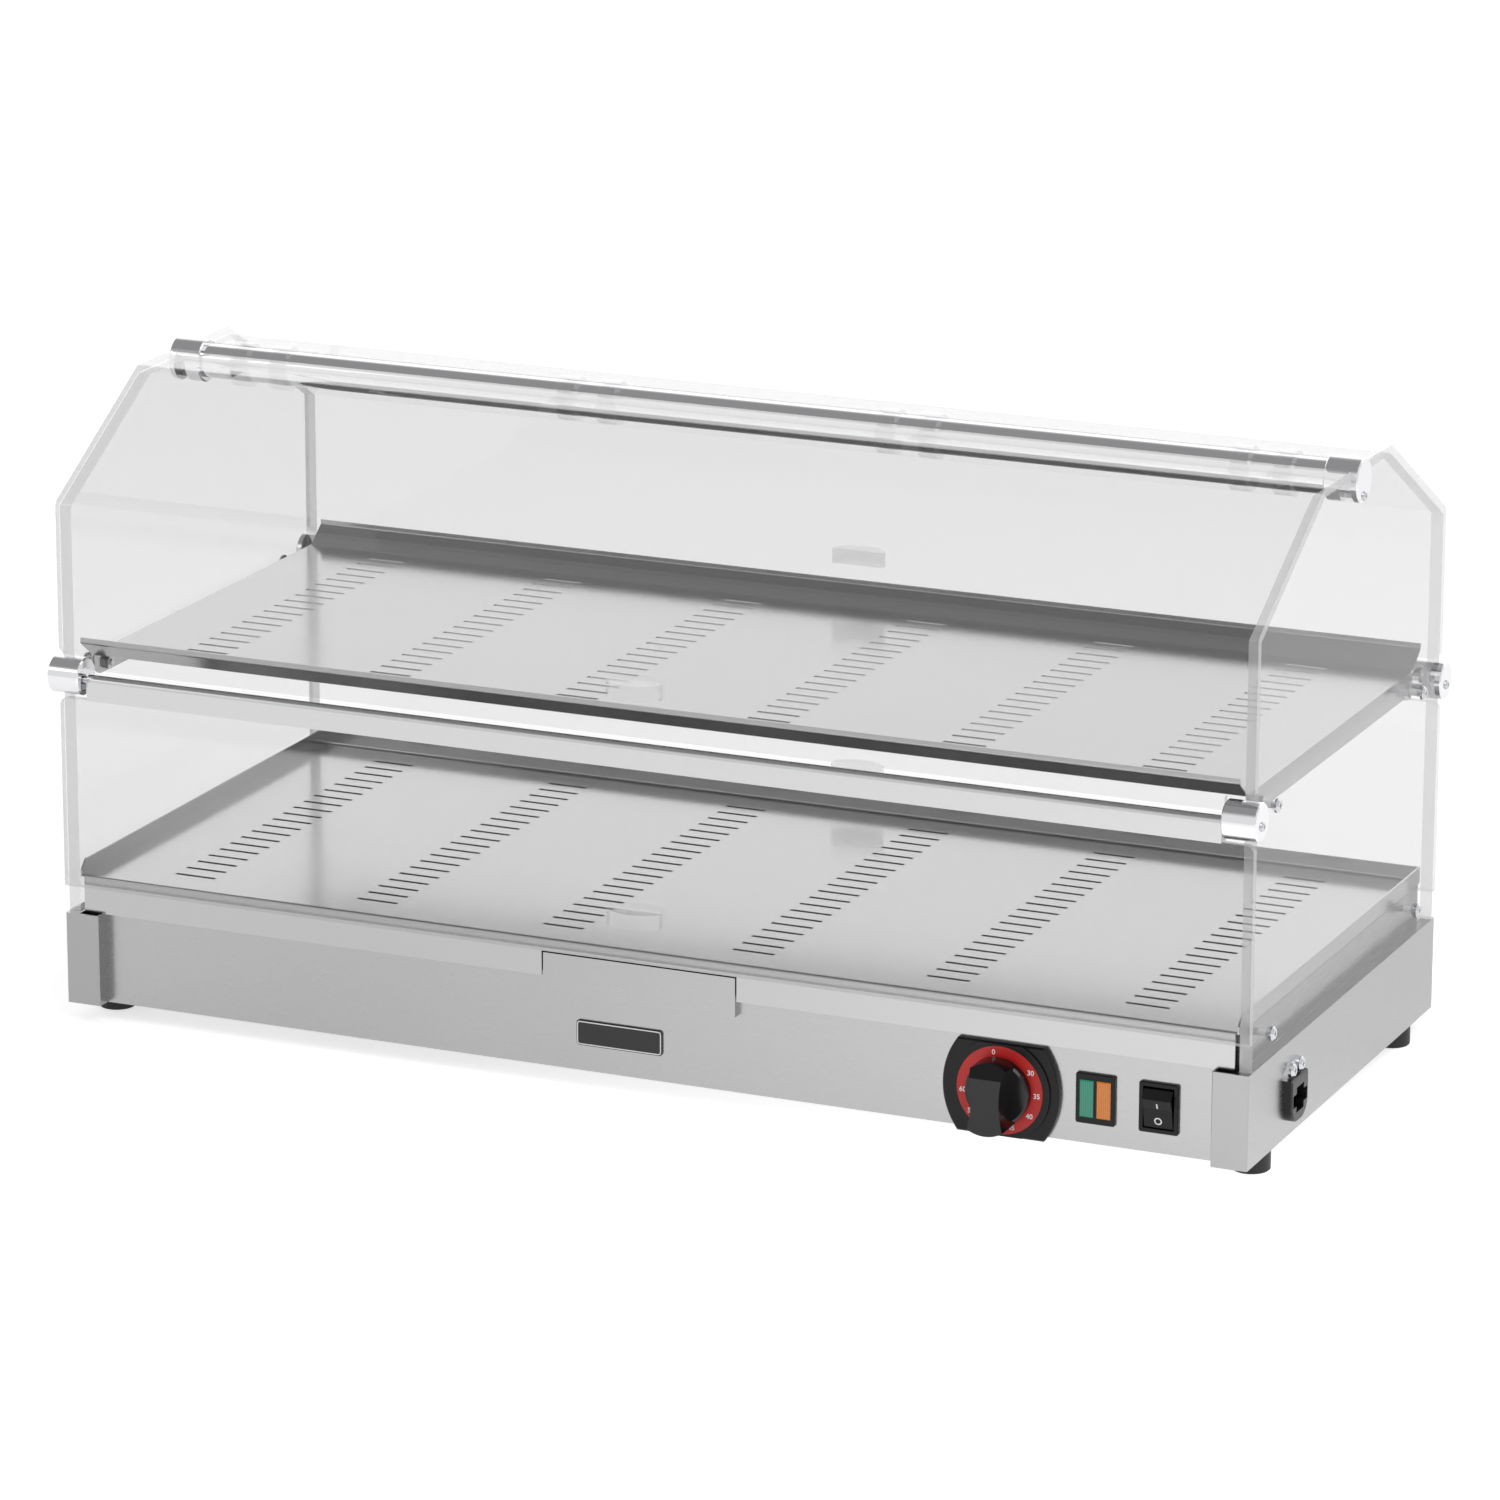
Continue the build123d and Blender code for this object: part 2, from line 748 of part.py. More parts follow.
def thermostat_body():
    """Thermostat behind the panel, with the bush that the spindle turns in."""
    w, d, h = thermostat_size
    y0 = -panel_y + sheet
    body = block(dial_x - w / 2, dial_x + w / 2, y0, y0 + d, dial_z - h / 2, dial_z + h / 2)
    body = fillet(body.edges().filter_by(Axis.Y), thermostat_corner)
    depth_behind = spindle_bearing + spindle_clearance
    return body - rod_y(spindle_radius + spindle_clearance, y0 - 1, y0 + depth_behind, dial_x, dial_z)


def lamp_housing():
    """Bezel and housing of the double indicator lamp, open in front for its lenses."""
    bezel = extrude(RectangleRounded(bezel_width, bezel_height, bezel_corner), bezel_thickness)
    bezel = chamfer(bezel.edges().group_by(Axis.Z)[-1], broken_edge)
    body = bezel + Pos(0, 0, -housing_depth / 2) * Box(cutout_width, cutout_height, housing_depth)
    for side in (left, right):
        x = side * (lens_width + lens_gap) / 2
        body -= Pos(x, 0, 0) * Box(lens_width, lens_height, 2 * bezel_thickness)
    return Pos(lamp_x, -panel_y, controls_z) * Rot(90, 0, 0) * body


def lamp_lens(side):
    """One ribbed lamp lens."""
    height = 2 * bezel_thickness + lens_proud
    body = Pos(0, 0, height / 2 - bezel_thickness) * Box(lens_width, lens_height, height)
    body = chamfer(body.edges().group_by(Axis.Z)[-1], broken_edge)
    x = lamp_x + side * (lens_width + lens_gap) / 2
    return Pos(x, -panel_y, controls_z) * Rot(90, 0, 0) * body


def switch_housing():
    """Frame and housing of the rocker switch, with journals for the rocker's axle."""
    bezel = extrude(RectangleRounded(bezel_width, bezel_height, bezel_corner), bezel_thickness)
    bezel = chamfer(bezel.edges().group_by(Axis.Z)[-1], broken_edge)
    body = bezel + Pos(0, 0, -housing_depth / 2) * Box(cutout_width, cutout_height, housing_depth)
    well = Box(rocker_width + 2 * rocker_wall, rocker_height + 2 * rocker_wall, 2 * rocker_well)
    journal_end = axle_half + axle_end_gap
    journal = rod_x(rocker_axle + spindle_clearance, -journal_end, journal_end, 0, -rocker_drop)
    body = body - well - journal
    return Pos(switch_x, -panel_y, controls_z) * Rot(90, 0, 0) * body


def switch_rocker():
    """Rocker, stored in its off position: the lower end in, the ridge near the upper end out."""
    half = rocker_height / 2
    outline = [
        (-half + rocker_wall, -rocker_drop - rocker_axle),
        (-half, bezel_thickness - rocker_wall),
        (0, bezel_thickness + rocker_proud * 0.4),
        (half * 0.5, bezel_thickness + rocker_proud),
        (half - rocker_wall, bezel_thickness),
        (half - 2 * rocker_wall, -rocker_drop),
        (0, -rocker_drop - 2 * rocker_axle),
    ]
    body = along_x(outline, -rocker_width / 2, rocker_width / 2)
    body += rod_x(rocker_axle, -axle_half, axle_half, 0, -rocker_drop)
    return Pos(switch_x, -panel_y, controls_z) * Rot(90, 0, 0) * body


def badge_plate():
    """Plain badge plate with rounded corners."""
    body = extrude(RectangleRounded(badge_width, badge_height, badge_corner), badge_thickness)
    body = chamfer(body.edges().group_by(Axis.Z)[-1], broken_edge)
    return Pos(badge_x, -panel_y, base_z + badge_rise) * Rot(90, 0, 0) * body


# Cable inlet


def inlet_shape(inset=0.0):
    """The inlet's outline: straight sides with a round bottom, as seen from the right."""
    w = inlet_width - 2 * inset
    r = w * 0.42
    outline = Pos(0, inlet_height / 2) * Rectangle(w, inlet_height - 2 * inset)
    return fillet(outline.vertices().group_by(Axis.Y)[0], r)


def inlet_place(x):
    """Local frame on the right side panel: X to the rear, Y up, Z outwards."""
    return Pos(x, inlet_y, base_z + inlet_rise) * Rot(0, 90, 0) * Rot(0, 0, 90)


def inlet_hole():
    """The opening in the side panel that the inlet is pushed through."""
    return inlet_place(half_w - 3 * sheet) * extrude(inlet_shape(inlet_step), 6 * sheet)


def inlet_body():
    """Moulded cable inlet with a cross-shaped mouth; the supply cord isn't fitted."""
    collar = extrude(inlet_shape(), inlet_proud)
    collar = chamfer(collar.edges().group_by(Axis.Z)[-1], inlet_chamfer)
    body = collar + Pos(0, 0, -inlet_depth) * extrude(inlet_shape(inlet_step), inlet_depth)
    mouth = Rectangle(mouth_width, mouth_arm) + Rectangle(mouth_stem, mouth_height)
    body -= Pos(0, mouth_rise, -inlet_proud) * extrude(mouth, 3 * inlet_proud)
    return inlet_place(half_w) * body


def inlet_clamp():
    """Metal clamp plate over the inlet, with chamfered upper corners."""
    outline = Pos(0, inlet_height + clamp_height / 2) * Rectangle(inlet_width, clamp_height)
    outline = chamfer(outline.vertices().group_by(Axis.Y)[-1], clamp_chamfer)
    plate = extrude(outline, clamp_thickness)
    for side in (left, right):
        hole = Cylinder(screw_radius, 4 * clamp_thickness)
        plate -= Pos(side * inlet_width / 4, inlet_height + clamp_height / 2, 0) * hole
    return inlet_place(half_w) * plate


def inlet_screws():
    """Two screws through the clamp plate."""
    screws = []
    for side in (left, right):
        y = inlet_y + side * inlet_width / 4
        z = base_z + inlet_rise + inlet_height + clamp_height / 2
        screws.append(Pos(half_w + clamp_thickness, y, z) * pan_screw(clamp_thickness))
    return Compound(children=screws)


# Water drawer


def drawer_front():
    """Drawer front: a shallow channel whose returns rest on the front panel when shut."""
    half = drawer_width / 2
    z0 = base_z + drawer_front_rise
    body = block(-half, half, -lip_y, -lip_y + sheet, z0, drawer_front_top)
    for side in (left, right):
        body += block(side * half, side * (half - sheet), -lip_y, -panel_y, z0, drawer_front_top)
    body += block(-half, half, -lip_y, -panel_y, z0, z0 + sheet)
    return Pos(drawer_x, 0, 0) * body


def drawer_pan():
    """Water pan: thin walls, open at the top, with a rim that hangs in the runners."""
    half = drawer_pan_width / 2
    y0 = -lip_y + sheet
    y1 = y0 + drawer_pan_depth
    top = pan_z + drawer_pan_height
    outer = block(-half, half, y0, y1, pan_z, top)
    inner = block(-half + sheet, half - sheet, y0 + sheet, y1 - sheet, pan_z + sheet, 2 * top)
    return Pos(drawer_x, 0, 0) * (outer - inner)


def drawer_runners():
    """Angle runners from the front panel to the rear panel that the pan slides on."""
    runners = []
    reach = panel_y - sheet
    floor_z = pan_z - runner_gap
    for side in (left, right):
        inner = drawer_x + side * (drawer_pan_width / 2 + runner_gap)
        outer = inner + side * sheet
        body = block(inner, outer, -reach, reach, floor_z - sheet, pan_z + runner_height)
        body += block(inner - side * runner_foot, outer, -reach, reach, floor_z - sheet, floor_z)
        runners.append(body)
    return Compound(children=runners)


# Heater


def heating_elements(side):
    """Two straight tubular elements under one half of the tray."""
    outer = half_w - heater_end_inset
    z = tray_z - sheet - heater_drop
    return Compound(children=[
        rod_x(heater_radius, side * (outer - heater_length), side * outer, end * heater_span / 2, z)
        for end in (front, rear)
    ])


def heater_brackets():
    """Brackets that hold the elements' ends to the tray's underside."""
    top = tray_z - sheet
    z = top - heater_drop
    outer = half_w - heater_end_inset - bracket_inset
    inner = half_w - heater_end_inset - heater_length + bracket_inset + bracket_width
    brackets = []
    for side in (left, right):
        for end in (front, rear):
            y = end * heater_span / 2
            reach = heater_radius + bracket_wall
            for x in (inner, outer):
                bracket = block(side * x, side * (x - bracket_width), y - reach, y + reach, z - reach, top)
                brackets.append(bracket - rod_x(heater_radius, -half_w, half_w, y, z))
    return Compound(children=brackets)


def thermostat_bulb():
    """Sensing bulb held against the tray's underside."""
    x = drawer_width / 2 + bulb_offset
    return rod_x(bulb_radius, x, x + bulb_length, 0, tray_z - sheet - bulb_radius)


def terminal_block():
    """Terminal block on the bottom plate, near the cable inlet."""
    x = half_w - terminal_inset
    y = inlet_y + terminal_offset
    z = base_z + 2 * sheet
    return block(x - terminal_width, x, y, y + terminal_depth, z, z + terminal_height)


nodes = {
    "base_left_side": base_side(left),
    "base_right_side": base_side(right),
    "base_front_panel": base_front_panel(),
    "base_rear_panel": base_rear_panel(),
    "base_bottom_plate": base_bottom_plate(),
    "lower_tray": lower_tray(),
    "upper_shelf": upper_shelf(),
    "left_side_pane": side_pane_panel(left),
    "right_side_pane": side_pane_panel(right),
    "upper_front_door": upper_door(front),
    "upper_rear_door": upper_door(rear),
    "lower_front_door": lower_door(front),
    "lower_rear_door": lower_door(rear),
    "upper_front_pull": door_pull(front, upper_bottom + upper_pull_rise),
    "upper_rear_pull": door_pull(rear, upper_bottom + upper_pull_rise),
    "lower_front_pull": door_pull(front, door_bottom + lower_pull_rise),
    "lower_rear_pull": door_pull(rear, door_bottom + lower_pull_rise),
    "upper_front_hinge_straps": hinge_straps(front),
    "upper_rear_hinge_straps": hinge_straps(rear),
    "lower_front_hinge_profile": hinge_profile(front),
    "lower_rear_hinge_profile": hinge_profile(rear),
    "front_rail_rod": rail_rod_bar(front),
    "rear_rail_rod": rail_rod_bar(rear),
    "top_tube": top_tube(),
    "top_cap_left": top_cap(left),
    "top_cap_right": top_cap(right),
    "rail_cap_front_left": rail_cap(front, left),
    "rail_cap_front_right": rail_cap(front, right),
    "rail_cap_rear_left": rail_cap(rear, left),
    "rail_cap_rear_right": rail_cap(rear, right),
    "cap_screws": cap_screws(),
    "side_pane_screws": side_pane_screws(),
    "side_pane_nuts": side_pane_nuts(),
    "shelf_bolts": shelf_bolts(),
    "shelf_bolt_nuts": shelf_bolt_nuts(),
    "dial_plate": dial_plate(),
    "control_knob": control_knob(),
    "thermostat_spindle": thermostat_spindle(),
    "thermostat_body": thermostat_body(),
    "lamp_housing": lamp_housing(),
    "green_lens": lamp_lens(left),
    "orange_lens": lamp_lens(right),
    "switch_housing": switch_housing(),
    "switch_rocker": switch_rocker(),
    "badge_plate": badge_plate(),
    "inlet_body": inlet_body(),
    "inlet_clamp": inlet_clamp(),
    "inlet_screws": inlet_screws(),
    "drawer_front": drawer_front(),
    "drawer_pan": drawer_pan(),
    "drawer_runners": drawer_runners(),
    "heating_elements_left": heating_elements(left),
    "heating_elements_right": heating_elements(right),
    "heater_brackets": heater_brackets(),
    "thermostat_bulb": thermostat_bulb(),
    "terminal_block": terminal_block(),
}
for end, end_name in ((front, "front"), (rear, "rear")):
    for side, side_name in ((left, "left"), (right, "right")):
        foot_x = side * (half_w - foot_inset_x)
        foot_y = end * (half_d - foot_inset_y)
        nodes[f"foot_{end_name}_{side_name}"] = foot(foot_x, foot_y)

os.makedirs("parts", exist_ok=True)
for name, shape in nodes.items():
    export_step(shape, f"parts/{name}.step")
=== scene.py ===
import math

import bpy
from mathutils import Matrix, Vector


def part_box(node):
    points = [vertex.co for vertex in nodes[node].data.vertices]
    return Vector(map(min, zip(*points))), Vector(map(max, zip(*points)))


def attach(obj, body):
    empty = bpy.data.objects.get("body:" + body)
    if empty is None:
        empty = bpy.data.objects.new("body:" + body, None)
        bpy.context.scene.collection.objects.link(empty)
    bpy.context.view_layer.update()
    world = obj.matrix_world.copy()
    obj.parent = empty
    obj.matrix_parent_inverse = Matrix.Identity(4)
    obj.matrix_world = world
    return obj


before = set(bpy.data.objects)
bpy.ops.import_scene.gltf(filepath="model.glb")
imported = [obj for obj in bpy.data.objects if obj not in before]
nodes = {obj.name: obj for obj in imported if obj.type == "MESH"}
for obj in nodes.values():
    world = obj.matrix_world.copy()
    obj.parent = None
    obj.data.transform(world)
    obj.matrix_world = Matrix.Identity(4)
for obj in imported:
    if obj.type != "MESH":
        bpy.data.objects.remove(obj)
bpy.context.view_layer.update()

MM = 0.001


# Shader helpers

def linear(code):
    """An sRGB hex colour as linear red, green, blue and alpha."""
    parts = [int(code[i:i + 2], 16) / 255 for i in (1, 3, 5)]
    return [c / 12.92 if c <= 0.04045 else ((c + 0.055) / 1.055) ** 2.4 for c in parts] + [1.0]


def add(tree, kind, inputs=None, **settings):
    """A node with its settings; an input is a value, or a (node, output) pair to link."""
    node = tree.nodes.new(kind)
    for name, value in settings.items():
        setattr(node, name, value)
    for name, value in (inputs or {}).items():
        if isinstance(value, tuple) and hasattr(value[0], "outputs"):
            tree.links.new(value[0].outputs[value[1]], node.inputs[name])
        else:
            node.inputs[name].default_value = value
    return node


def material(name):
    """An empty node material and its tree."""
    made = bpy.data.materials.new(name)
    made.use_nodes = True
    made.node_tree.nodes.clear()
    return made, made.node_tree


# Metals

def ground_stainless(name, colour, grain_axis, roughness, contrast=0.02, grain_mm=0.35, run_mm=30):
    """Cold-rolled stainless sheet, ground with a fine belt: short parallel scratches along one axis
    blur what it mirrors into a soft even grey. The real scratches are about 0.1 mm wide and are
    drawn wider, so that they show at all."""
    made, tree = material(name)
    place = add(tree, "ShaderNodeTexCoord")
    stretch = [1 / (grain_mm * MM)] * 3
    stretch[grain_axis] = 1 / (run_mm * MM)
    belt = add(tree, "ShaderNodeMapping", {"Vector": (place, "Object"), "Scale": stretch})
    grain = add(tree, "ShaderNodeTexNoise", {
        "Vector": (belt, "Vector"), "Scale": 1.0, "Detail": 3.0, "Roughness": 0.6})
    cloud_mm = 167
    cloud = add(tree, "ShaderNodeTexNoise", {
        "Vector": (place, "Object"), "Scale": 1 / (cloud_mm * MM), "Detail": 1.0})
    both = add(tree, "ShaderNodeMath", {0: (grain, "Fac"), 1: (cloud, "Fac")}, operation="ADD")
    tone = add(tree, "ShaderNodeMapRange", {
        "Value": (both, "Value"), "From Min": 0.6, "From Max": 1.4,
        "To Min": 1 - contrast, "To Max": 1 + contrast})
    base = add(tree, "ShaderNodeMix", {
        6: linear(colour), 7: (tone, "Result"), 0: 1.0}, data_type="RGBA", blend_type="MULTIPLY")
    gloss = add(tree, "ShaderNodeMapRange", {
        "Value": (grain, "Fac"), "From Min": 0.3, "From Max": 0.7,
        "To Min": roughness - 0.015, "To Max": roughness + 0.02})
    relief = add(tree, "ShaderNodeBump", {
        "Height": (grain, "Fac"), "Strength": 0.05, "Distance": 0.002 * MM})
    metal = add(tree, "ShaderNodeBsdfPrincipled", {
        "Base Color": (base, 2), "Metallic": 1.0, "Roughness": (gloss, "Result"),
        "Normal": (relief, "Normal")})
    add(tree, "ShaderNodeOutputMaterial", {"Surface": (metal, "BSDF")})
    return made


def plated(name, colour, roughness, haze=0.03):
    """Chrome, zinc or anodising on turned and drawn metal: a mirror with faint polishing haze."""
    made, tree = material(name)
    place = add(tree, "ShaderNodeTexCoord")
    run_mm, mark_mm = 16.7, 2.5
    drawn = add(tree, "ShaderNodeMapping", {
        "Vector": (place, "Object"), "Scale": (1 / (run_mm * MM), 1 / (mark_mm * MM), 1 / (mark_mm * MM))})
    polish = add(tree, "ShaderNodeTexNoise", {"Vector": (drawn, "Vector"), "Scale": 1.0, "Detail": 3.0})
    gloss = add(tree, "ShaderNodeMapRange", {
        "Value": (polish, "Fac"), "From Min": 0.35, "From Max": 0.65,
        "To Min": roughness, "To Max": roughness + haze})
    metal = add(tree, "ShaderNodeBsdfPrincipled", {
        "Base Color": linear(colour), "Metallic": 1.0, "Roughness": (gloss, "Result")})
    add(tree, "ShaderNodeOutputMaterial", {"Surface": (metal, "BSDF")})
    return made


# Clear plastics

def clear_sheet(tree, place, tint, gloss_gain=1.1):
    """The polished face of an acrylic sheet: what is behind it, a little greyer, under a soft mirror.
    Only the face that looks outwards mirrors, a little more than one face would."""
    swell_mm, swell_depth_mm = 111, 0.4
    swell = add(tree, "ShaderNodeTexNoise", {
        "Vector": (place, "Object"), "Scale": 1 / (swell_mm * MM), "Detail": 0.0})
    wave = add(tree, "ShaderNodeBump", {
        "Height": (swell, "Fac"), "Strength": 0.1, "Distance": swell_depth_mm * MM})
    polish = add(tree, "ShaderNodeMapRange", {"Value": (swell, "Fac"), "To Min": 0.0, "To Max": 0.03})
    through = add(tree, "ShaderNodeBsdfTransparent", {"Color": linear(tint)})
    mirror = add(tree, "ShaderNodeBsdfGlossy", {
        "Roughness": (polish, "Result"), "Normal": (wave, "Normal")})
    share = add(tree, "ShaderNodeFresnel", {"IOR": 1.49})
    facing = add(tree, "ShaderNodeNewGeometry")
    outer = add(tree, "ShaderNodeMath", {0: gloss_gain, 1: (facing, "Backfacing")}, operation="MULTIPLY")
    outer = add(tree, "ShaderNodeMath", {0: gloss_gain, 1: (outer, "Value")}, operation="SUBTRACT")
    share = add(tree, "ShaderNodeMath", {
        0: (share, "Fac"), 1: (outer, "Value")}, operation="MULTIPLY", use_clamp=True)
    return add(tree, "ShaderNodeMixShader", {
        0: (share, "Value"), 1: (through, "BSDF"), 2: (mirror, "BSDF")})


def cast_acrylic(name, tint, edge_tint, edge_share, edge_of):
    """Cast acrylic sheet, polished on its faces and sawn on its edges, which gather light and look
    milky. The sheet is thin, so it passes light straight on, shadows included."""
    made, tree = material(name)
    place = add(tree, "ShaderNodeTexCoord")
    face = clear_sheet(tree, place, tint)
    saw_mark_mm = 1.1
    marks = add(tree, "ShaderNodeTexNoise", {
        "Vector": (place, "Object"), "Scale": 1 / (saw_mark_mm * MM), "Detail": 2.0})
    dull = add(tree, "ShaderNodeMapRange", {"Value": (marks, "Fac"), "To Min": 0.2, "To Max": 0.5})
    milk = add(tree, "ShaderNodeBsdfPrincipled", {
        "Base Color": linear(edge_tint), "Roughness": (dull, "Result"), "IOR": 1.49})
    through = add(tree, "ShaderNodeBsdfTransparent", {"Color": linear(tint)})
    sawn = add(tree, "ShaderNodeMixShader", {0: edge_share, 1: (through, "BSDF"), 2: (milk, "BSDF")})
    edge = edge_of(tree, place)
    whole = add(tree, "ShaderNodeMixShader", {0: (edge, "Value"), 1: (face, "Shader"), 2: (sawn, "Shader")})
    add(tree, "ShaderNodeOutputMaterial", {"Surface": (whole, "Shader")})
    return made


def flat_sheet_edge(axis):
    """Marks the edges of a sheet whose wide faces look along an axis."""
    def mark(tree, place):
        turned = add(tree, "ShaderNodeSeparateXYZ", {0: (place, "Normal")})
        along = add(tree, "ShaderNodeMath", {0: (turned, axis)}, operation="ABSOLUTE")
        return add(tree, "ShaderNodeMath", {0: (along, "Value"), 1: 0.5}, operation="LESS_THAN")
    return mark


def bent_door_edge(foot_z):
    """Marks the ends of a bent door and its lower edge, which lies below foot_z."""
    def mark(tree, place):
        turned = add(tree, "ShaderNodeSeparateXYZ", {0: (place, "Normal")})
        along = add(tree, "ShaderNodeMath", {0: (turned, "X")}, operation="ABSOLUTE")
        end = add(tree, "ShaderNodeMath", {0: (along, "Value"), 1: 0.5}, operation="GREATER_THAN")
        down = add(tree, "ShaderNodeMath", {0: (turned, "Z"), 1: -0.7}, operation="LESS_THAN")
        point = add(tree, "ShaderNodeSeparateXYZ", {0: (place, "Object")})
        low = add(tree, "ShaderNodeMath", {0: (point, "Z"), 1: foot_z}, operation="LESS_THAN")
        foot = add(tree, "ShaderNodeMath", {0: (down, "Value"), 1: (low, "Value")}, operation="MULTIPLY")
        return add(tree, "ShaderNodeMath", {0: (end, "Value"), 1: (foot, "Value")}, operation="MAXIMUM")
    return mark


def moulded_acrylic(name, tint, milk_and_painted_shade_tint, milk_and_painted_shade_share):
    """Moulded clear acrylic: polished like the sheet, with a share of milk: a trace from its thickness on
    the pulls and straps, and a grey of painted shade on the panes' broken edges.
    """
    made, tree = material(name)
    place = add(tree, "ShaderNodeTexCoord")
    face = clear_sheet(tree, place, tint)
    flow_mm = 8.3
    flow = add(tree, "ShaderNodeTexNoise", {
        "Vector": (place, "Object"), "Scale": 1 / (flow_mm * MM), "Detail": 2.0})
    dull = add(tree, "ShaderNodeMapRange", {"Value": (flow, "Fac"), "To Min": 0.1, "To Max": 0.3})
    milk = add(tree, "ShaderNodeBsdfPrincipled", {
        "Base Color": linear(milk_and_painted_shade_tint), "Roughness": (dull, "Result"), "IOR": 1.49})
    whole = add(tree, "ShaderNodeMixShader", {0: milk_and_painted_shade_share, 1: (face, "Shader"), 2: (milk, "BSDF")})
    add(tree, "ShaderNodeOutputMaterial", {"Surface": (whole, "Shader")})
    return made


# Opaque plastics and rubber

def moulded(name, colour, roughness, grain_mm=0.5, depth_mm=0.02, gleam=0.5, spread=0.04):
    """Injection-moulded plastic or rubber with the fine spark texture of its mould."""
    made, tree = material(name)
    place = add(tree, "ShaderNodeTexCoord")
    spark = add(tree, "ShaderNodeTexNoise", {
        "Vector": (place, "Object"), "Scale": 1 / (grain_mm * MM), "Detail": 3.0})
    gloss = add(tree, "ShaderNodeMapRange", {
        "Value": (spark, "Fac"), "From Min": 0.3, "From Max": 0.7,
        "To Min": roughness - spread, "To Max": roughness + spread})
    relief = add(tree, "ShaderNodeBump", {
        "Height": (spark, "Fac"), "Strength": 0.3, "Distance": depth_mm * MM})
    body = add(tree, "ShaderNodeBsdfPrincipled", {
        "Base Color": linear(colour), "Roughness": (gloss, "Result"), "IOR": 1.5,
        "Specular IOR Level": gleam, "Normal": (relief, "Normal")})
    add(tree, "ShaderNodeOutputMaterial", {"Surface": (body, "BSDF")})
    return made


def ribbed_lens(name, colour, painted_rib_light):
    """Tinted polycarbonate lens with upright ribs 1.2 mm apart on its back; each rib carries painted
    light, a lighter tint of the lens colour.
    """
    made, tree = material(name)
    place = add(tree, "ShaderNodeTexCoord")
    rib_mm, rib_depth_mm = 1.2, 0.15
    pitch = add(tree, "ShaderNodeMapping", {
        "Vector": (place, "Object"), "Scale": (1 / (rib_mm * MM) / math.pi, 0, 0)})
    ribs = add(tree, "ShaderNodeTexWave", {
        "Vector": (pitch, "Vector"), "Scale": 1.0, "Distortion": 0.0},
        wave_type="BANDS", bands_direction="X", wave_profile="SIN")
    # Painted light: the lens colour turns lighter on each rib.
    tone = add(tree, "ShaderNodeMix", {
        6: linear(colour), 7: linear(painted_rib_light), 0: (ribs, "Fac")}, data_type="RGBA")
    relief = add(tree, "ShaderNodeBump", {
        "Height": (ribs, "Fac"), "Strength": 0.2, "Distance": rib_depth_mm * MM})
    lens = add(tree, "ShaderNodeBsdfPrincipled", {
        "Base Color": (tone, 2), "Roughness": 0.16, "IOR": 1.58, "Normal": (relief, "Normal")})
    add(tree, "ShaderNodeOutputMaterial", {"Surface": (lens, "BSDF")})
    return made


# Finishes of the CAD nodes

along_x, along_y = 0, 1
foot_band = 1.0 * MM
upper_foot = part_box("upper_front_door")[0].z + foot_band

# Ground stainless sheet: grey satin, with its grain along each sheet's length. The tray is smoother.
panel_steel = ground_stainless("ground_stainless_panel", "#A9A9A9", along_x, 0.26)
# Painted shade: the side sheets are the same steel as the panels, drawn a darker grey.
side_steel_painted_darker = ground_stainless("ground_stainless_side_painted_darker", "#9E9E9E", along_y, 0.26)
tray_steel = ground_stainless("ground_stainless_tray", "#B0B0B0", along_x, 0.17, 0.01, 1.5, 60)

# Plated and anodised metal: bright bands that follow the round forms, harder on chrome than on zinc.
chrome = plated("bright_chrome_plate", "#DCDCDE", 0.03)
zinc = plated("zinc_plated_steel", "#BFC0C3", 0.14, 0.08)
anodised = plated("bright_anodised_aluminium", "#C4C4C5", 0.16, 0.06)

# Cast acrylic: nearly unseen on its faces, outlined by milky edges.
acrylic_tint, edge_tint, edge_share = "#F6F6F6", "#F4F4F4", 0.5
side_acrylic = cast_acrylic(
    "cast_acrylic_side_pane", acrylic_tint, edge_tint, edge_share, flat_sheet_edge("X"))
flat_acrylic = cast_acrylic(
    "cast_acrylic_flat_door", acrylic_tint, edge_tint, edge_share, flat_sheet_edge("Y"))
bent_acrylic = cast_acrylic(
    "cast_acrylic_bent_door", acrylic_tint, edge_tint, edge_share, bent_door_edge(upper_foot))
# Painted shade: the panes' broken edges are drawn grey.
arris_painted_shade = moulded_acrylic("broken_edge_of_acrylic_painted_grey", "#E6E7E8", "#A9ABAD", 0.5)
acrylic_pull = moulded_acrylic("moulded_acrylic_pull", "#FBFBFB", "#F8F8F8", 0.14)
acrylic_strap = moulded_acrylic("moulded_acrylic_strap", "#FDFDFD", "#F8F8F8", 0.02)

# Moulded plastics and rubber: black with a soft sheen, dullest on the feet.
abs_black = moulded("black_abs_moulding", "#0B0B0C", 0.34, 0.4, 0.02, 0.25)
phenolic = moulded("black_phenolic_knob", "#0A0A0B", 0.20, 0.6, 0.01, 0.4)
inlet_black = moulded("black_nylon_inlet", "#0D0D0E", 0.40, 0.5)
foot_rubber = moulded("black_rubber_foot", "#0C0C0C", 0.55, 0.7, 0.03)
pale_plastic = moulded("cream_nylon_block", "#D8D3C6", 0.45, 0.5)

# Print and lacquer: flat even colour, glossy only on the badge.
dial_red = moulded("printed_red_scale", "#C4211C", 0.40, 0.5, 0.005)
print_white = moulded("screen_printed_white", "#FAFAFA", 0.45, 0.3, 0.005)
badge_black = moulded("black_lacquered_badge", "#0B0B0C", 0.18, 0.8, 0.003)

# Polycarbonate lenses: strong colour, with the upright ribs showing through as stripes of painted light.
green_lens_painted_rib_light = ribbed_lens("green_polycarbonate_lens", "#0E7F64", "#27A386")
orange_lens_painted_rib_light = ribbed_lens("orange_polycarbonate_lens", "#D8720F", "#EF902C")

# Painted shade: the floor of a screw's cross recess, steel that little light reaches, drawn dark grey.
recess_painted_shade = moulded("painted_shade_of_screw_recess", "#3A3A3B", 0.4)

